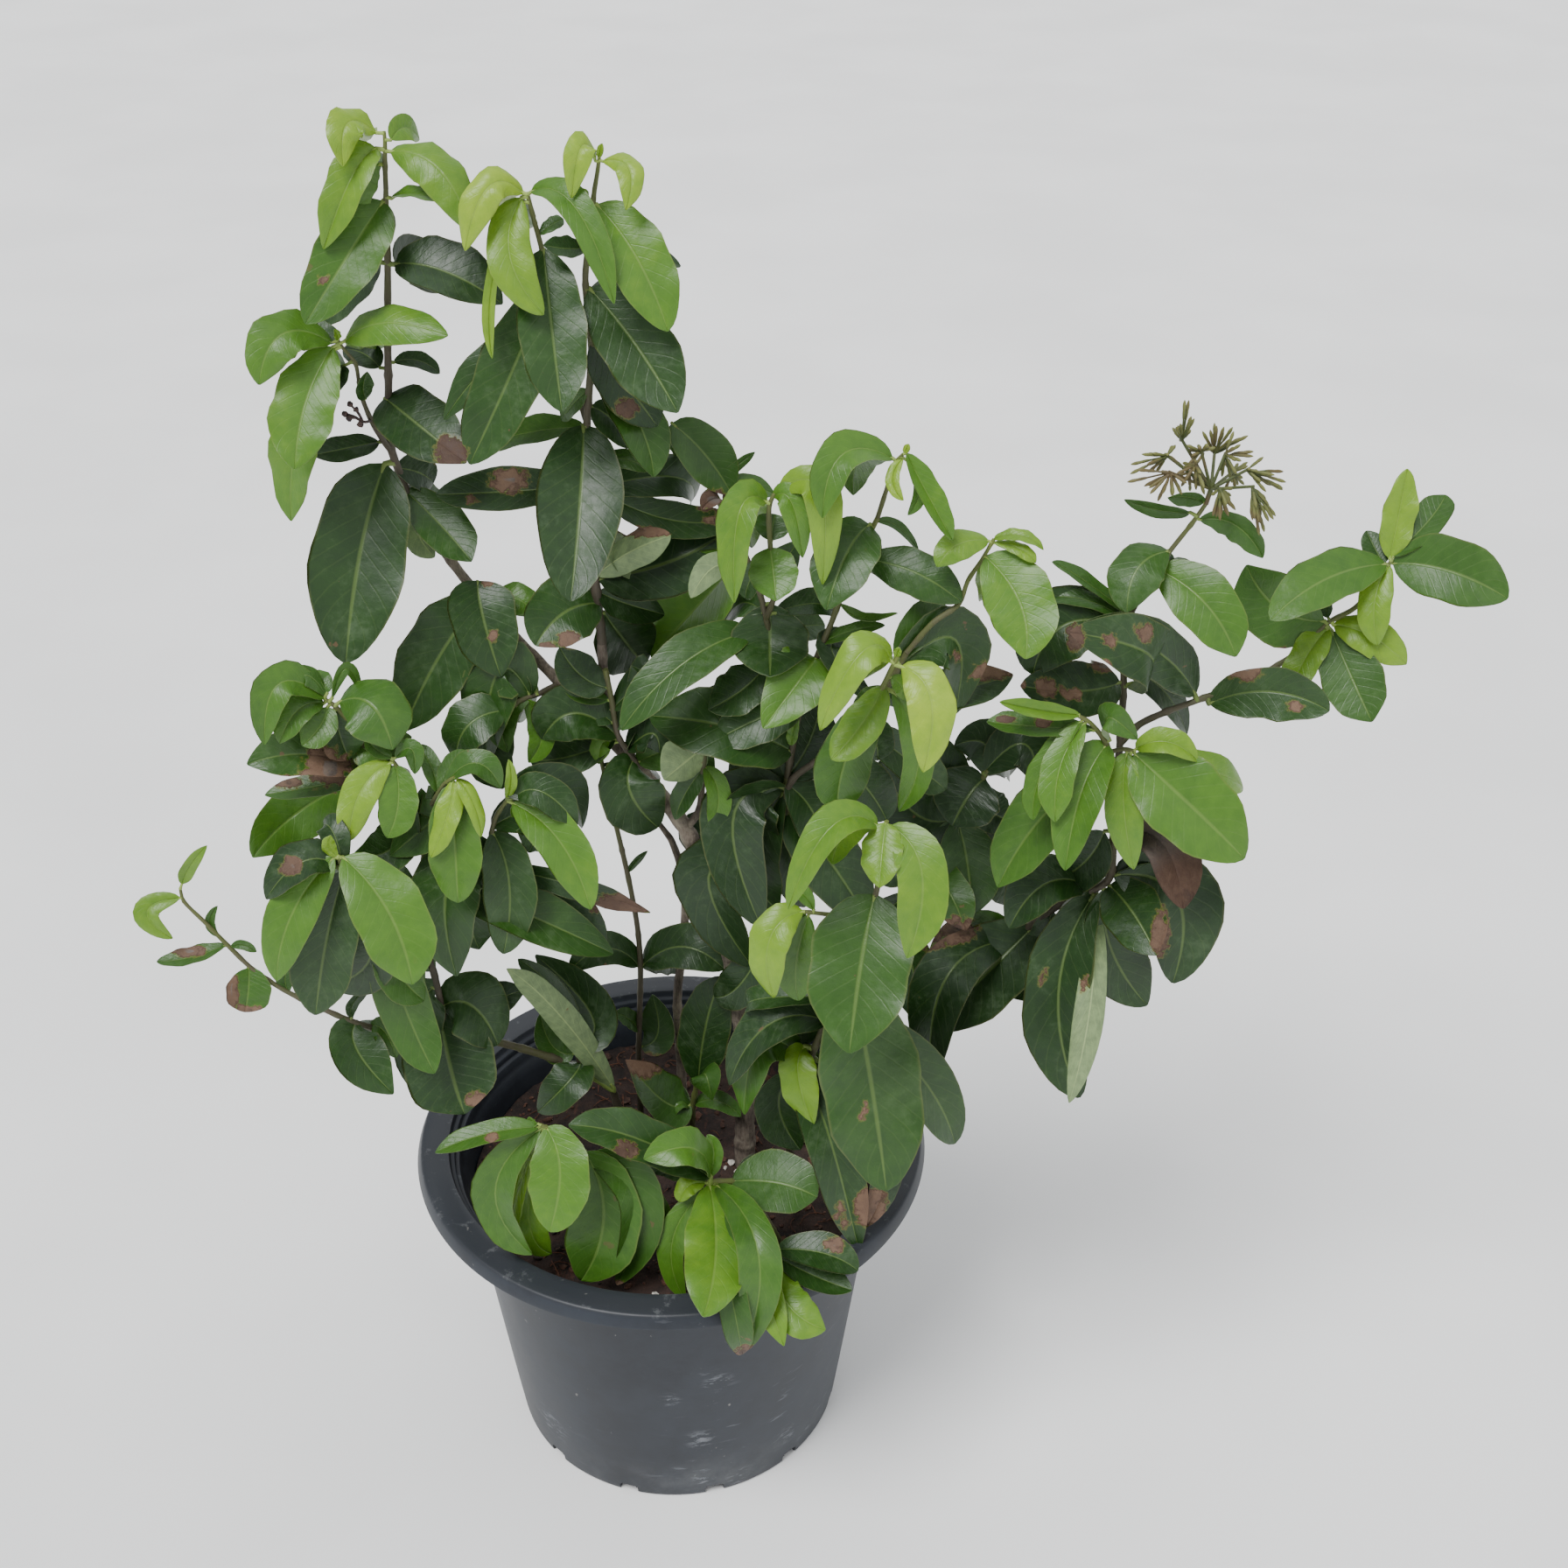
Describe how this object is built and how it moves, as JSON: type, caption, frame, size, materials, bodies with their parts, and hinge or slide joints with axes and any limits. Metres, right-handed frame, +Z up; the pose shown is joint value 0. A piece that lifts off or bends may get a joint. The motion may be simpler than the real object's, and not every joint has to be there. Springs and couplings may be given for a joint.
{
  "type": "potted ixora shrub",
  "caption": "Leafy ixora shrub with a budding flower head, growing in a round tapered nursery pot.",
  "frame": {"origin": "centre of the pot's flat base, on the ground", "axes": "+Z up the pot's round axis, +X to the right of the picture, +Y away from the viewer"},
  "size_m": [0.7204, 0.3464, 0.8288],
  "materials": {
    "pot_plastic": "matte, scuffed and dusty",
    "soil": "coarse crumbly potting mix of coir and bark",
    "bark": "rough weathered bark",
    "leaf_dark": "leathery, softly glossy",
    "leaf_mid": "leathery, softly glossy",
    "leaf_young": "soft young leaf, softly glossy",
    "bud": "smooth, satin",
    "dried_stalk": "dry and dull"
  },
  "bodies": {
    "root": {"pot": "pot_plastic", "soil": "soil", "woody_branches": "bark", "upright_woody_stem": "bark", "left_leafy_stem": "leaf_dark", "left_top_leaves": "leaf_young", "left_side_shoot": "leaf_mid", "dried_fruit_stalk": "dried_stalk", "middle_leafy_stem": "leaf_dark", "drooping_shoot": "leaf_mid", "middle_top_leaves": "leaf_young", "right_lower_leaves": "leaf_dark", "flower_stem_leaves": "leaf_mid", "right_leafy_branch": "leaf_mid", "right_young_cluster": "leaf_young", "inner_right_leaves": "leaf_dark", "front_leafy_stem": "leaf_mid", "front_young_cluster": "leaf_young", "inner_middle_leaves": "leaf_dark", "upper_middle_leaves": "leaf_mid", "curled_middle_shoot": "leaf_young", "upper_right_leafy_stem": "leaf_mid", "upper_right_young_shoot": "leaf_young", "right_of_middle_leaves": "leaf_mid", "upper_right_small_shoot": "leaf_young", "middle_young_cluster": "leaf_young", "inner_left_leaves": "leaf_dark", "left_of_branch_leaves": "leaf_mid", "branch_end_leaves": "leaf_dark", "middle_olive_leaves": "leaf_mid", "lower_left_leaves": "leaf_dark", "left_young_shoot": "leaf_young", "far_left_shoot": "leaf_mid", "upright_bud_shoot": "leaf_mid", "front_left_shoot": "leaf_mid", "low_left_branch": "leaf_mid", "thin_upright_stem": "leaf_dark", "pot_middle_leaves": "leaf_mid", "pot_left_leaves": "leaf_mid", "front_rim_left_shoot": "leaf_mid", "front_rim_middle_shoot": "leaf_young", "front_rim_right_shoot": "leaf_mid", "flower_head": "bud"}
  },
  "joints": []
}
